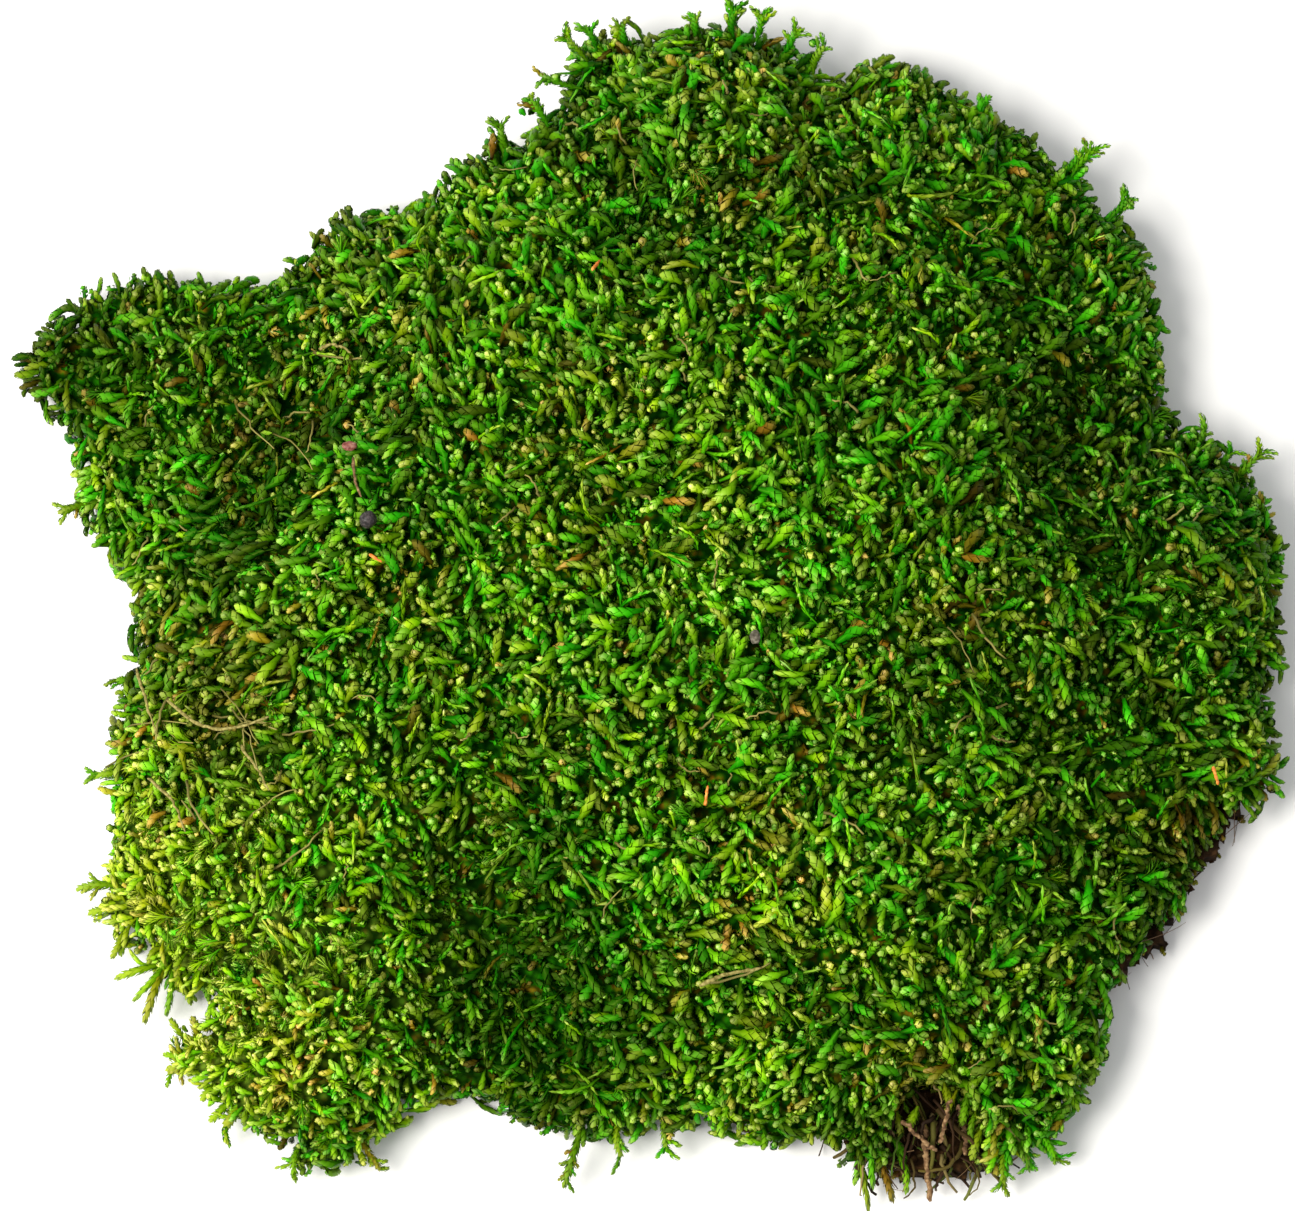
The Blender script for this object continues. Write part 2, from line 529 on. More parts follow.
def grid_body(axis, inside, top, bottom, jitter, seed):
    """A closed body over the inside cells of a grid, between a top and a bottom height map."""
    flat = grid_places(axis, np.zeros(top.shape))
    grid_x = (flat[:, 0] + jitter * value_noise(flat, 1.3, seed)).reshape(top.shape)
    grid_y = (flat[:, 1] + jitter * value_noise(flat, 1.3, seed + 1)).reshape(top.shape)
    bm = bmesh.new()
    verts = {}

    def vert(i, j, upper):
        if (i, j, upper) not in verts:
            height = (top if upper else bottom)[i, j]
            verts[i, j, upper] = bm.verts.new((grid_x[i, j], grid_y[i, j], height))
        return verts[i, j, upper]

    full = inside[:-1, :-1] & inside[1:, :-1] & inside[:-1, 1:] & inside[1:, 1:]
    for i, j in zip(*np.nonzero(full)):
        for upper in (True, False):
            bm.faces.new([vert(i + di, j + dj, upper) for di, dj in ((0, 0), (1, 0), (1, 1), (0, 1))])
    partner = {vertex: verts.get((i, j, not upper)) for (i, j, upper), vertex in verts.items()}
    tops = {vertex for (_, _, upper), vertex in verts.items() if upper}
    for edge in [edge for edge in bm.edges if edge.is_boundary and edge.verts[0] in tops]:
        first, second = edge.verts
        bm.faces.new((first, second, partner[second], partner[first]))
    bmesh.ops.recalc_face_normals(bm, faces=bm.faces)
    points, _, faces = mesh_arrays(bm)
    return points, faces


def mesh_arrays(bm):
    """The points, normals and triangles of a bmesh, which is freed."""
    bmesh.ops.triangulate(bm, faces=bm.faces)
    bm.normal_update()
    bm.verts.index_update()
    points = np.array([v.co for v in bm.verts])
    normals = np.array([v.normal for v in bm.verts])
    faces = np.array([[v.index for v in f.verts] for f in bm.faces])
    bm.free()
    return points, normals, faces


class Surface:
    """A material in the making, with the kinds of nodes that its colour is made with."""

    def __init__(self, name, roughness, specular, tint=(1.0, 1.0, 1.0)):
        self.material = bpy.data.materials.new(name)
        self.material.use_nodes = True
        self.nodes = self.material.node_tree.nodes
        self.link = self.material.node_tree.links.new
        self.inputs = self.nodes["Principled BSDF"].inputs
        self.inputs["Roughness"].default_value = roughness
        self.inputs["Specular IOR Level"].default_value = specular
        self.inputs["Specular Tint"].default_value = (*tint, 1.0)

    def attribute(self, name):
        node = self.nodes.new("ShaderNodeAttribute")
        node.attribute_name = name
        return node.outputs["Fac"]

    def texture(self, kind, scale, detail, output):
        """A noise or Voronoi texture that is fixed to the piece."""
        node = self.nodes.new(kind)
        node.inputs["Scale"].default_value = scale
        node.inputs["Detail"].default_value = detail
        self.link(self.nodes.new("ShaderNodeTexCoord").outputs["Object"], node.inputs["Vector"])
        return node.outputs[output]

    def noise(self, scale, detail):
        return self.texture("ShaderNodeTexNoise", scale, detail, "Fac")

    def ramp(self, value, *stops):
        """Colours along a value: each stop is its place and its red, green and blue."""
        node = self.nodes.new("ShaderNodeValToRGB")
        elements = node.color_ramp.elements
        while len(elements) < len(stops):
            elements.new(1.0)
        for element, (place, *colour) in zip(elements, stops):
            element.position = place
            element.color = (*colour, 1.0)
        self.link(value, node.inputs["Fac"])
        return node.outputs["Color"]

    def mix(self, share, first, second, blend="MIX"):
        node = self.nodes.new("ShaderNodeMix")
        node.data_type = "RGBA"
        node.blend_type = blend
        for value, name in ((share, "Factor"), (first, "A"), (second, "B")):
            if isinstance(value, bpy.types.NodeSocket):
                self.link(value, node.inputs[name])
            else:
                node.inputs[name].default_value = value
        return node.outputs["Result"]

    def times(self, first, second):
        return self.mix(1.0, first, second, "MULTIPLY")

    def painted(self, colour):
        self.link(colour, self.inputs["Base Color"])
        return self.material


def moss_material():
    """Leaf scales dark at their base and light at their tip, from brown over green to lime."""
    moss = Surface("moss_leaves", 0.42, 0.15, (0.8, 1.0, 0.12))
    along = moss.attribute("along")
    body = moss.ramp(along, *GREEN)
    for share, stops in (("tone", LIME), ("olive", OLIVE), ("dry", BROWN)):
        body = moss.mix(moss.attribute(share), body, moss.ramp(along, *stops))
    for shade, stops in (("edge", EDGE_SHADE), ("exposed", LIT_SHADE), ("vigour", VIGOUR_SHADE)):
        body = moss.times(body, moss.ramp(moss.attribute(shade), *stops))
    return moss.painted(body)


def under_material():
    """The dark green and brown lower stems that show in the gaps between the shoots."""
    stems = Surface("moss_dead_stems", 1.0, 0.02)
    patches = stems.noise(400.0, 4.0)
    cells = stems.texture("ShaderNodeTexVoronoi", 650.0, 0.0, "Distance")
    shades = (0.35, 0.003, 0.06, 0.0004), (0.52, 0.014, 0.115, 0.0008), (0.66, 0.12, 0.075, 0.003)
    colour = stems.ramp(patches, *shades)
    gap = stems.ramp(cells, (0.15, 1.3, 1.3, 1.3), (0.5, 0.4, 0.4, 0.4), (0.75, 0.08, 0.15, 0.08))
    bleached = stems.mix(0.75, colour, (0.15, 0.21, 0.018, 1.0))
    colour = stems.mix(stems.attribute("pale"), colour, bleached)
    return stems.painted(stems.times(colour, gap))


def humus_material():
    """Dark crumbly soil with blotches of lighter, drier brown."""
    soil = Surface("humus_soil", 0.95, 0.08)
    grains = (0.3, 0.006, 0.003, 0.0012), (0.5, 0.022, 0.011, 0.004), (0.72, 0.085, 0.043, 0.016)
    drier = (0.35, 0.5, 0.5, 0.5), (0.5, 1, 0.92, 0.85), (0.65, 2.4, 2.05, 1.75)
    colour = soil.ramp(soil.noise(700.0, 6.0), *grains)
    return soil.painted(soil.times(colour, soil.ramp(soil.noise(55.0, 6.0), *drier)))


def strand_material(name, *stops):
    """A fibre whose colour runs from its root to its tip."""
    strand = Surface(name, 0.6, 0.3)
    return strand.painted(strand.ramp(strand.attribute("along"), *stops))


def patch_material():
    """Strands from near-black brown through reddish brown and olive to pale tan, one colour each."""
    strand = Surface("bare_patch_strands", 0.7, 0.12)
    darker = (0, 0.01, 0.005, 0.002), (0.4, 0.04, 0.018, 0.006), (0.6, 0.09, 0.07, 0.012)
    lighter = (0.8, 0.06, 0.12, 0.01), (0.9, 0.14, 0.11, 0.03), (1, 0.42, 0.3, 0.13)
    colour = strand.ramp(strand.attribute("shade"), *darker, *lighter)
    light = strand.ramp(strand.attribute("along"), (0, 0.6, 0.6, 0.6), (1, 1.2, 1.2, 1.2))
    return strand.painted(strand.times(colour, light))


def skin_material(name, roughness, grains, dark, middle, light):
    """A plain organic surface whose colour follows fine noise."""
    skin = Surface(name, roughness, 0.25)
    return skin.painted(skin.ramp(skin.noise(grains, 5.0), (0.3, *dark), (0.5, *middle), (0.7, *light)))


def nearest_offsets(places, centres):
    """From each place, the way back from its nearest centre."""
    tree = KDTree(len(centres))
    for i, centre in enumerate(centres):
        tree.insert(centre, i)
    tree.balance()
    return places - centres[[tree.find(place)[1] for place in places]]


def comb_field(places, facing, centres, rng):
    """Which way the shoots lean at each place and how far: tufts spread, and patches lean together."""
    turn = math.tau * value_noise(places, PATCH_SIZE, 3) + math.radians(-60.0)
    drift = np.stack([np.cos(turn), np.sin(turn), np.zeros(len(places))], axis=1)
    spread = nearest_offsets(places, centres) / (TUFT_SPACING * 0.5)
    outward = facing * np.array([1.0, 1.0, 0.3])
    lean = 0.7 * drift + 0.4 * spread + 1.1 * outward + rng.normal(0.0, 0.8, places.shape)
    lean -= facing * (lean * facing).sum(axis=1, keepdims=True)
    amount = np.linalg.norm(lean, axis=1)
    tilt = np.radians(np.clip(25.0 + 34.0 * amount + rng.normal(0.0, 14.0, len(places)), 14.0, 84.0))
    return unit(lean), tilt, np.linalg.norm(spread, axis=1)


def tilted(facing, comb, tilt):
    """The directions of shoots that lean from upright by tilt, in radians, the way they are combed."""
    tilt = tilt.reshape(-1, 1)
    return unit(facing * np.cos(tilt) + comb * np.sin(tilt))


def pits(places):
    """How far the shoots stand back in the dark gaps and hollows of the carpet."""
    depth = 2.0 * smoothstep((value_noise(places, 3.8, 12) - 0.22) / 0.3)
    for spot in OPEN_PATCHES:
        depth += 1.5 * region(places, *spot) * smoothstep((value_noise(places, 4.6, 13) - 0.1) / 0.3)
    for *spot, deep in HOLLOWS:
        depth = np.maximum(depth, deep * smoothstep(2.0 * region(places, *spot)))
    return depth * (1.0 - 0.7 * region(places, *PALE_REGION))


def paints(places, rng):
    """The colour of each shoot: yellow-green, green, olive or dead brown, in patches and at random."""
    count = len(places)
    tone = 0.18 + 0.25 * value_noise(places, 20.0, 8) + rng.normal(0, 0.42, count)
    tone += 0.45 * region(places, *LIME_REGION) - 0.15 * smoothstep((places[:, 0] - 30) / 50)
    tone = patched(tone, places, HUE_PATCHES)
    olive = 0.10 + 0.3 * value_noise(places, 12.0, 9) + rng.normal(0, 0.25, count)
    olive = patched(olive, places, OLIVE_REGIONS)
    dry = (rng.random(count) < 0.045) * rng.uniform(0.3, 1.0, count)
    for spot in DRY_PATCHES:
        dry = np.maximum(dry, region(places, *spot) * (rng.random(count) < 0.22))
        olive += 0.35 * region(places, *spot)
    vigour = 0.49 + 0.14 * value_noise(places, 18.0, 10) + 0.22 * value_noise(places, 5.0, 11)
    vigour += rng.normal(0, 0.20, count)
    vigour = np.maximum(patched(vigour, places, LIGHT_PATCHES), 0.06)
    return {"tone": tone, "olive": olive, "dry": dry, "vigour": vigour}


class Cushion:
    """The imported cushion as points, and as a height map with the thin rim sprigs opened away."""

    def __init__(self):
        self.points, self.triangles = node_mesh("moss_cushion")
        self.tree = surface_tree(self.points, self.triangles)
        half = 105.0
        self.axis = np.linspace(-half, half, int(2 * half / UNDER_GRID) + 1)
        height = height_map(self.tree, self.axis)
        body = self.widened(-self.widened(-height, SPRIG_WIDTH), SPRIG_WIDTH) > 0.0
        rim_deep = np.minimum(-self.widened(-height, UNDER_RIM_DEPTH), UNDER_RIM_HEIGHT)
        self.deep = np.maximum(-self.widened(-height, UNDER_DEPTH), rim_deep)
        self.body_cells = np.argwhere(body)
        self.near_body = self.widened(np.where(body, 1.0, -9.0), 1.0) > -1.0

    def widened(self, height, reach):
        """The height map of all points within reach of the one given."""
        steps = math.ceil(reach / UNDER_GRID)
        wide = height.copy()
        for dx, dy in product(range(-steps, steps + 1), repeat=2):
            away = math.hypot(dx, dy) * UNDER_GRID
            if away <= reach:
                moved = np.roll(height, (dx, dy), axis=(0, 1))
                wide = np.maximum(wide, moved + math.sqrt(reach**2 - away**2))
        return wide

    def on_body(self, places):
        """True where a place belongs to the carpet itself and not to a sprig that sticks out of it."""
        cell = np.round((places[:, :2] - self.axis[0]) / UNDER_GRID).astype(int)
        cell = np.clip(cell, 0, len(self.axis) - 1)
        return self.near_body[cell[:, 0], cell[:, 1]]

    def outside_by(self, place):
        """How far a place lies outside the carpet, negative inside it."""
        spot, normal, _, _ = self.tree.find_nearest(Vector(place))
        return (Vector(place) - spot).dot(normal)

    def rooted(self, tips, direction, facing, length):
        """The roots of shoots, led back another way where they would otherwise stand in the air."""
        upright = facing * (direction * facing).sum(axis=1, keepdims=True)
        ways = np.stack([2.0 * upright - direction, unit(facing + 0.5 * direction), unit(upright + facing)])
        roots = tips - direction * length
        for i in range(len(roots)):
            if self.outside_by(roots[i]) > -0.3:
                roots[i] = min(tips[i] - ways[:, i] * length[i], key=self.outside_by)
            if self.outside_by(roots[i]) > -0.1:
                spot, normal, _, _ = self.tree.find_nearest(Vector(tips[i]))
                roots[i] = spot - normal * 1.5
        return roots

    def stems(self, tips, direction, facing, length, lift, curl, rng):
        """The roots of shoots, and their first directions: lifted towards upright and astray."""
        roots = self.rooted(tips, direction, facing, length)
        lifted = unit(tips - roots) + facing * rng.uniform(0.0, lift, (len(tips), 1))
        return roots, lifted + rng.normal(0.0, curl, tips.shape)

    def rim_place(self, tip):
        """The place of the carpet nearest to a tip and the way into the carpet, from above."""
        spots = self.axis[self.body_cells]
        away = np.linalg.norm(spots - tip[:2], axis=1)
        inward = spots[away < away.min() + INWARD_REACH].mean(axis=0) - tip[:2]
        return spots[np.argmin(away)], unit(inward)


def moss_shoots(cushion, moss, rng):
    """The plump leafy shoots of the carpet, in bands from front to back."""
    points, triangles = cushion.points, cushion.triangles
    normals = broad_normals(points, triangles, 6)
    corners = points[triangles]
    outside = (unit(crossed(corners))[:, 2] > -0.3) | (corners[:, :, 2].min(axis=1) > HEM_HEIGHT)
    centres, _ = scatter(points, triangles[outside], normals, TUFT_SPACING, rng)
    places, facing = scatter(points, triangles[outside], normals, SHOOT_SPACING, rng)
    kept = cushion.on_body(places)
    places, facing = places[kept], facing[kept]
    comb, tilt, off_centre = comb_field(places, facing, centres, rng)
    count = len(places)
    fine = region(places, *FINE_REGION)
    direction = tilted(facing, comb, tilt)
    length = rng.uniform(*SHOOT_LENGTH, count) * (1.0 - 0.2 * fine)
    rim = smoothstep((0.75 - facing[:, 2]) / 0.5)
    radii = rng.uniform(*SHOOT_RADIUS, count) * (1.0 - 0.25 * fine) * (1.0 - 0.2 * rim)
    sink = rng.uniform(-0.7, 0.9, count) + 0.5 * off_centre**2 * (1.0 - rim) - 0.1 * rim
    sink += (1.0 - rim) * pits(places)
    for *spot, rise in REST_SPOTS:
        near = region(places, *spot)
        sink = sink * (1.0 - near) - rise * near
    tips = places - facing * sink[:, None]
    roots, lean = cushion.stems(tips, direction, facing, length[:, None], 1.2, 0.35, rng)
    colours = paints(places, rng)
    pale = region(places, *PALE_REGION)
    colours["vigour"] -= PIT_SHADE * np.clip(sink, -0.5, 3.0) + RIM_SHADE * rim * (1.0 - pale)
    template = shoot_template(LEAVES_PER_SHOOT, 0.22, 4, 3)
    order = np.argsort(places[:, 1])
    for band, chosen in enumerate(np.array_split(order, SHOOT_BANDS)):
        stems = (roots[chosen], lean[chosen], tips[chosen], radii[chosen])
        shades = {paint: values[chosen] for paint, values in colours.items()}
        grow_shoots(f"moss_shoots_{band + 1}", moss, template, stems, shades, rng)
    return centres, places, facing, comb


def sparse_shoots(name, kind, chosen, carpet, cushion, moss, rng):
    """Shoots of another kind at some places of the carpet."""
    template, tilt, length, radius, sink, curl, glow = kind
    places, facing, comb = (values[chosen] for values in carpet)
    one_each = (len(places), 1)
    angle = np.radians(rng.uniform(*tilt, one_each))
    direction = tilted(facing, unit(comb + rng.normal(0.0, 0.5, comb.shape)), angle)
    tips = places - facing * rng.uniform(*sink, one_each)
    roots, lean = cushion.stems(tips, direction, facing, rng.uniform(*length, one_each), 0.8, curl, rng)
    colours = paints(places, rng)
    colours["vigour"] += glow
    stems = (roots, lean, tips, rng.uniform(*radius, len(places)))
    grow_shoots(name, moss, shoot_template(*template), stems, colours, rng, 0.5)


def lesser_shoots(carpet, cushion, moss, rng):
    """Between the plump shoots: young tips, slender curved shoots and shoots with spreading leaves."""
    places, facing, _ = carpet
    upper = np.nonzero(facing[:, 2] > 0.2)[0]
    young = upper[thin_out(places[upper], YOUNG_SPACING)]
    young = young[region(places[young], *PALE_REGION) < 0.3]
    sparse_shoots("moss_young_tips", YOUNG, young, carpet, cushion, moss, rng)
    slender = rng.choice(upper, SLENDER_COUNT, replace=False)
    sparse_shoots("moss_slender_shoots", SLENDER, slender, carpet, cushion, moss, rng)
    share = sum(region(places[upper], *spot) for spot in FEATHERY_PATCHES)
    share = 0.012 + 0.22 * share + 0.25 * region(places[upper], *PALE_REGION)
    feathery = upper[rng.random(len(upper)) < share]
    sparse_shoots("moss_feathery_shoots", FEATHERY, feathery, carpet, cushion, moss, rng)


def rim_sprigs(cushion, moss, rng):
    """Plump shoots that hang over the rim, and branched sprigs with side shoots on alternate sides."""
    long_stems, side_stems, plump_stems = [], [], []
    for root, tip in np.array(HANGING_SHOOTS, float).reshape(-1, 2, 3):
        lean = unit(tip - root) + UP * 0.4 + rng.normal(0, 0.3, 3)
        plump_stems.append((root, lean, tip, HANGING_RADIUS * rng.uniform(0.8, 1.15)))
    for *place, twigs in RIM_SPRIGS:
        tip = np.array(place, float)
        rim, inward = cushion.rim_place(tip)
        root = np.array([*(rim + inward * SPRIG_ROOT_DEPTH), max(SPRIG_ROOT_HEIGHT, tip[2] - 1.0)])
        forward = unit(tip - root)
        lean = forward + UP * 0.35 + rng.normal(0, 0.3, 3)
        long_stems.append((root, lean, tip, SPRIG_RADIUS * rng.uniform(0.85, 1.1)))
        sideways = unit(np.cross(forward, UP))
        bend = root + unit(lean) * np.linalg.norm(tip - root) * 0.5
        for k in range(twigs * 3):
            start = arc(root, bend, tip, rng.uniform(0.35, 0.9))
            turn = sideways * (1 if k % 2 else -1) * rng.uniform(0.3, 1.3)
            way = unit(forward + turn + UP * rng.uniform(-0.2, 0.4))
            end = start + way * rng.uniform(*SIDE_SHOOT)
            side_stems.append((start, forward, end, rng.uniform(0.35, 0.55)))
    for name, stems, template in (
        ("moss_rim_sprigs", long_stems, (52, 0.1, 5, 6, 0.16, 0.6, (0.6, 1.0, 1.5))),
        ("moss_sprig_side_shoots", side_stems, (LEAVES_PER_SHOOT, 0.1, 4, 3, 0.3, 0.6, (0.6, 1.0, 1.4))),
        ("moss_hanging_shoots", plump_stems, (36, 0.1, 5, 5, 0.22, 0.62, (0.6, 0.95, 1.32))),
    ):
        arrays = tuple(np.array(values) for values in zip(*stems))
        colours = paints(arrays[0], rng)
        colours["vigour"] = np.clip(colours["vigour"], 0.35, 0.6)
        colours["olive"] += 0.15
        grow_shoots(name, moss, shoot_template(*template), arrays, colours, rng, 0.5)


def under_layer(cushion):
    """A closed body of dead stems a little below the tips of the shoots; gives its upper surface."""
    step = slice(None, None, 2)
    axis, deep = cushion.axis[step], cushion.deep[step, step]
    bottom = np.full(deep.shape, UNDER_BOTTOM)
    points, faces = grid_body(axis, deep > 4.0, np.maximum(deep, UNDER_LOWEST_TOP), bottom, 0.6, 1)
    middle = (UNDER_BOTTOM + UNDER_LOWEST_TOP) / 2.0
    upper = points[:, 2] > middle
    points[upper, 2] += np.maximum(UNDER_RELIEF * value_noise(points[upper], 2.6, 61), UNDER_DENT)
    part = ("moss_cushion", "living_moss", under_material())
    mesh_object("moss_dead_stem_layer", part, points, faces, {"pale": region(points, *PALE_REGION)})
    return points, faces[points[faces].mean(axis=1)[:, 2] > middle]


def deep_shoots(points, faces, centres, moss, rng):
    """Short dull shoots that lie between the others, on the body of dead stems."""
    normals = broad_normals(points, faces, 2)
    places, facing = scatter(points, faces, normals, DEEP_SPACING, rng)
    comb, _, _ = comb_field(places, facing, centres, rng)
    count = len(places)
    tilt = rng.uniform(0.7, 1.45, count) + 0.3 * (facing[:, 2] < 0.6)
    direction = tilted(facing, comb, tilt)
    roots = places - facing * 0.3
    tips = roots + direction * rng.uniform(*DEEP_LENGTH, (count, 1))
    colours = paints(places, rng)
    colours["tone"] -= 0.4
    colours["vigour"] += 0.7 * region(places, *PALE_REGION)
    stems = (roots, direction + facing * 0.3, tips, rng.uniform(0.55, 0.75, count))
    grow_shoots("moss_shoots_deep", moss, shoot_template(7, 0.3, 3, 2), stems, colours, rng)


def dry_wisps(cushion, rng):
    """Thin pale dry stems lying on the moss, some placed and some strewn."""
    placed = list(DRY_WISPS)
    for _ in range(WISP_COUNT):
        x, y = rng.uniform(-85, 85, 2)
        turn = rng.uniform(0, math.tau)
        reach = rng.uniform(2.5, 6.0)
        if height_at(cushion.tree, x, y) > 12:
            end = (x + reach * math.cos(turn), y + reach * math.sin(turn))
            placed.append((x, y, *end, rng.uniform(-0.9, 0.9)))
    spans = []
    for x0, y0, x1, y1, bend in placed:
        across = unit(np.array([y0 - y1, x1 - x0, 0.0]))
        start = np.array([x0, y0, max(height_at(cushion.tree, x0, y0), 6.0) + rng.uniform(-0.8, 0.3)])
        end = np.array([x1, y1, max(height_at(cushion.tree, x1, y1), 6.0) + rng.uniform(-1.2, 0.1)])
        spans.append((start, end, (start + end) / 2.0 + across * bend * 2.0 + UP * rng.uniform(0.4, 1.2)))
    straw = strand_material("dry_stems_of_moss", (0, 0.09, 0.08, 0.01), (1, 0.32, 0.28, 0.07))
    stems = strands(np.array(spans).swapaxes(0, 1), STEM_RINGS, 5, WISP_RADIUS, 0.55, rng, 0.12)
    mesh_object("moss_dry_stems", ("moss_cushion", "living_moss", straw), *stems)


def humus_mat(humus):
    """The brown mat: a crumbly body with a flat seat."""
    axis = np.arange(-104.0, 104.1, HUMUS_GRID)
    top = height_map(surface_tree(*node_mesh("humus_layer")), axis)
    spots = grid_places(axis, top)
    rough = (0.45 * value_noise(spots, 3.5, 31) + 0.35 * value_noise(spots, 1.9, 32)).reshape(top.shape)
    lower = np.clip(HUMUS_RELIEF * (0.35 + rough), 0.0, None)
    points, faces = grid_body(axis, top > 0.0, top + 0.5 * np.minimum(rough, 0.3), lower, 0.9, 33)
    mesh_object("humus_body", humus, points, faces)
    return points, faces


def exposed_humus(points, faces, spacing, rng):
    """Places on the humus that can be seen: its underside, its sides, the bare patch and the rim."""
    normals = broad_normals(points, faces, 0)
    places, facing = scatter(points, faces, normals, spacing, rng)
    x, y, radius = BARE_PATCH
    in_patch = away_from(places, x, y) < radius
    shown = (facing[:, 2] < 0.5) | in_patch | (away_from(places, 0.0, 0.0) > RIM_REACH)
    return places[shown], facing[shown]


def humus_crumbs(points, faces, humus, rng):
    """Crumbs of soil: small octahedra, uneven and turned at random."""
    places, _ = exposed_humus(points, faces, CRUMB_SPACING, rng)
    count = len(places)
    size = rng.uniform(*CRUMB_SIZE, (count, 1, 1)) * rng.uniform(0.6, 1.3, (count, 6, 1))
    corners = np.array([(1, 0, 0), (-1, 0, 0), (0, 1, 0), (0, -1, 0), (0, 0, 1), (0, 0, -1)], float)
    spin, _ = np.linalg.qr(rng.normal(size=(count, 3, 3)))
    made = (places[:, None] + (corners @ spin) * size).reshape(-1, 3)
    made[:, 2] = np.maximum(made[:, 2], 0.02)
    octahedron = [(0, 2, 4), (2, 1, 4), (1, 3, 4), (3, 0, 4), (2, 0, 5), (1, 2, 5), (3, 1, 5), (0, 3, 5)]
    mesh_object("humus_crumbs", humus, made, copies(octahedron, count, 6))


def humus_fibres(points, faces, rng):
    """Rhizoids, pressed flat under the mat and sticking out a little at its sides."""
    places, facing = exposed_humus(points, faces, FIBRE_SPACING, rng)
    count = len(places)
    way = rng.normal(size=(count, 3))
    way = unit(way - 0.9 * facing * (way * facing).sum(axis=1, keepdims=True))
    length = rng.uniform(*FIBRE_LENGTH, (count, 1))
    starts = places - way * length * 0.5 - facing * 0.3
    ends = places + way * length * 0.5 + facing * rng.uniform(-0.2, 0.6, (count, 1))
    bends = places + facing * 0.7 + rng.normal(0.0, 1.5, (count, 3))
    rhizoids = strand_material("rhizoids", (0, 0.045, 0.02, 0.008), (1, 0.23, 0.13, 0.055))
    fibres = strands((starts, ends, bends), FIBRE_RINGS, 3, FIBRE_RADIUS, 0.4, rng, lowest=0.25)
    mesh_object("humus_fibres", ("humus_layer", "humus", rhizoids), *fibres)


def humus_dead_shoots(points, faces, leaves, rng):
    """Dead brown shoots that stick out of the sides of the mat."""
    places, facing = exposed_humus(points, faces, DEAD_SHOOT_SPACING, rng)
    side = (np.abs(facing[:, 2]) < 0.8) & (places[:, 2] > 1.5)
    places, facing = places[side], facing[side]
    count = len(places)
    way = unit(facing + rng.normal(0.0, 0.7, (count, 3)))
    length = rng.uniform(1.8, 4.0, (count, 1))
    colours = {
        "tone": np.full(count, 0.2), "olive": rng.uniform(0.3, 1.0, count),
        "dry": rng.uniform(0.4, 1.0, count), "vigour": rng.uniform(0.0, 0.6, count),
    }
    stems = (places - facing * 0.8, way, places + way * length * 0.5, rng.uniform(0.4, 0.65, count))
    part = ("humus_layer", "humus", leaves)
    grow_shoots("humus_dead_shoots", part, shoot_template(12, 0.2, 3, 3), stems, colours, rng)


def bare_patch_strands(rng):
    """Dead stems and rhizoids that hang across the bare patch, from its upper edge to the rim."""
    count = STRAND_COUNT
    x = rng.uniform(*STRAND_X, count)
    y = rng.uniform(*STRAND_Y, count)
    starts = np.stack([x, y, STRAND_FOOT + rng.random(count) * STRAND_SLOPE * (y - STRAND_Y[0])], axis=1)
    aside = rng.normal(0.0, 3.4, count)
    forward = rng.uniform(2.5, 8.0, count)
    ends = starts + np.stack([aside, -forward, -rng.uniform(1.0, 6.5, count)], axis=1)
    ends[:, 1] = np.maximum(ends[:, 1], rng.uniform(-94.4, -91.5, count))
    ends[:, 2] = np.maximum(ends[:, 2], 1.2)
    bends = (starts + ends) / 2.0 + rng.normal(0.0, 1.6, (count, 3)) + UP
    points, faces, attributes = strands((starts, ends, bends), STEM_RINGS, 5, STRAND_RADIUS, 0.55, rng, 0.1)
    attributes["shade"] = np.repeat(rng.random(count), len(points) // count)
    part = ("humus_layer", "humus", patch_material())
    mesh_object("humus_bare_patch_strands", part, points, faces, attributes)


def refined_copy(node, slot, material, depth):
    """A finer copy of a small CAD node, rounded and roughened with noise, that stands for it."""
    bm = bmesh.new()
    bm.from_mesh(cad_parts[node].data)
    bmesh.ops.remove_doubles(bm, verts=bm.verts, dist=0.00001)
    for _ in range(2):
        bmesh.ops.subdivide_edges(bm, edges=bm.edges[:], cuts=1, use_grid_fill=True, smooth=0.35)
    points, normals, faces = mesh_arrays(bm)
    points /= MM
    bumps = value_noise(points, BUMP_SIZE, 41) + 0.5 * value_noise(points, 0.45 * BUMP_SIZE, 42)
    points += normals * (depth * bumps)[:, None]
    mesh_object(node + "_detail", (node, slot, material), points, faces)


def smooth_route(spots, rings):
    """A Catmull-Rom curve through a few places, as evenly numbered rings."""
    padded = np.concatenate([2 * spots[:1] - spots[1:2], spots, 2 * spots[-1:] - spots[-2:-1]])
    place = np.linspace(0.0, len(spots) - 1.0, rings)
    first = np.minimum(place.astype(int), len(spots) - 2)
    t = (place - first)[:, None]
    a, b, c, d = (padded[first + k] for k in range(4))
    return 0.5 * (2 * b + (c - a) * t + (2 * a - 5 * b + 4 * c - d) * t**2 + (3 * b - a - 3 * c + d) * t**3)


def line_noise(values, seed):
    """Smooth noise along a line, at values in lumps."""
    return value_noise(np.stack([values] * 3, 1), 1.0, seed)


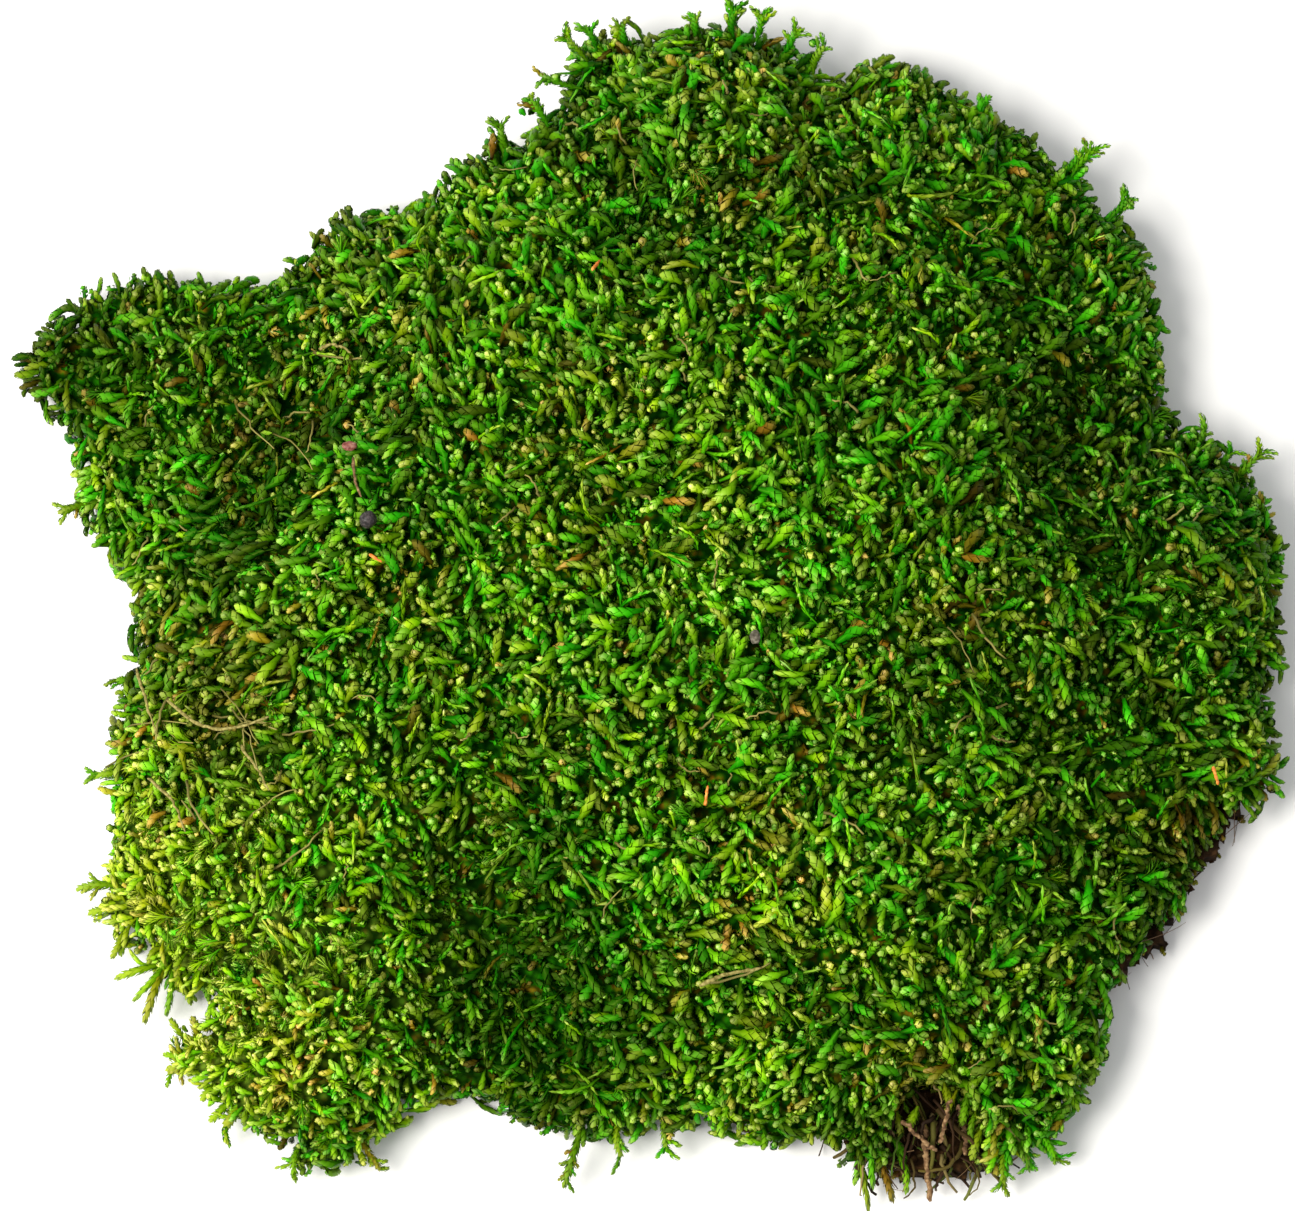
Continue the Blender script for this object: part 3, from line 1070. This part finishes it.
def refined_stem(node, slot, material, rings, wobble, rng, taper=0.55):
    """A round, slightly knotty stem along the centre line of a CAD stem, that stands for it."""
    points, _ = node_mesh(node)
    middle = points.mean(axis=0)
    axis = np.linalg.svd(points - middle)[2][0]
    order = np.argsort((points - middle) @ axis)
    groups = np.array_split(points[order], len(points) // CAD_STEM_SIDES)
    spots = np.array([group.mean(axis=0) for group in groups])
    radius = np.mean([np.linalg.norm(group - group.mean(axis=0), axis=1).mean() for group in groups])
    route = smooth_route(spots, rings)
    share = np.linspace(0.0, 1.0, rings)
    strays = [line_noise(share * rings * 0.45 + k * 9.0 + middle[0], 51) for k in range(3)]
    route += wobble * np.stack(strays, 1)
    knots = 1.0 + 0.28 * line_noise(share * rings * 0.6 + middle[1], 52)
    radii = radius * knots * (1.0 - (1.0 - taper) * share)
    radii[[0, -1]] *= 0.55
    made, faces, attributes = tubes(route[None], radii[None], 9)
    made += 0.08 * radius * rng.normal(size=made.shape)
    mesh_object(node + "_detail", (node, slot, material), made, faces, attributes)


def litter(rng):
    """The dead roots of the bare patch and the dry stems, needles, seed, bud scale and bark on the moss."""
    skins = {slot: (slot, skin_material(f"{slot}_{kind}", *look)) for slot, kind, *look in LITTER_SKINS}
    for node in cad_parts:
        if node.startswith("root_strand"):
            refined_stem(node, *skins["dead_root"], 26, 0.28, rng, 0.8)
        elif node.startswith(("straw", "dry_stem")):
            refined_stem(node, *skins["dry_stem"], 22, 0.22, rng)
        elif node.startswith("orange_needle"):
            refined_stem(node, *skins["dead_needle"], 12, 0.06, rng)
    refined_stem("bud_scale_stalk", *skins["dead_root"], 20, 0.12, rng)
    refined_copy("dark_seed", *skins["seed"], 0.06)
    refined_copy("bud_scale", *skins["bud_scale"], 0.06)
    refined_copy("bark_flake", *skins["bark"], 0.10)


def build_camera():
    data = bpy.data.cameras.new("camera")
    data.sensor_width = SENSOR_WIDTH
    data.lens = SENSOR_WIDTH * VIEW_DISTANCE / FRAME_WIDTH
    data.clip_start = 0.1
    data.clip_end = 20.0
    camera = add_object("camera", data)
    back = Vector((0.0, -math.cos(VIEW_ELEVATION), math.sin(VIEW_ELEVATION)))
    camera.location = VIEW_TARGET + back * VIEW_DISTANCE
    camera.rotation_euler = (math.pi / 2.0 - VIEW_ELEVATION, 0.0, 0.0)
    bpy.context.scene.camera = camera


def build_studio():
    data = bpy.data.lights.new("key_light", "AREA")
    data.shape = "DISK"
    data.size = KEY_SIZE
    data.energy = KEY_POWER
    data.color = KEY_COLOUR
    light = add_object("key_light", data)
    light.location = KEY_PLACE
    light.rotation_euler = (-Vector(KEY_PLACE)).to_track_quat("-Z", "Y").to_euler()
    world = bpy.data.worlds.new("studio")
    world.use_nodes = True
    background = world.node_tree.nodes["Background"].inputs
    background["Color"].default_value = (1.0, 1.0, 1.0, 1.0)
    background["Strength"].default_value = WORLD_LIGHT
    bpy.context.scene.world = world
    bpy.context.scene.view_settings.view_transform = "Standard"
    bpy.ops.mesh.primitive_plane_add(size=FLOOR_SIZE)
    floor = bpy.context.active_object
    floor.name = "floor"
    pale = Surface("pale_floor", 0.9, 0.1)
    pale.inputs["Base Color"].default_value = (FLOOR_GREY, FLOOR_GREY, FLOOR_GREY, 1.0)
    floor.data.materials.append(pale.material)


rng = np.random.default_rng(7)
leaves = moss_material()
# What most pieces have in common: the CAD node that they stand for, their slot and their material.
moss = ("moss_cushion", "living_moss", leaves)
humus = ("humus_layer", "humus", humus_material())
cushion = Cushion()
tufts, *carpet = moss_shoots(cushion, moss, rng)
lesser_shoots(carpet, cushion, moss, rng)
rim_sprigs(cushion, moss, rng)
deep_shoots(*under_layer(cushion), tufts, moss, rng)
dry_wisps(cushion, rng)
mat = humus_mat(humus)
humus_crumbs(*mat, humus, rng)
humus_fibres(*mat, rng)
humus_dead_shoots(*mat, leaves, rng)
bare_patch_strands(rng)
litter(rng)
build_camera()
build_studio()
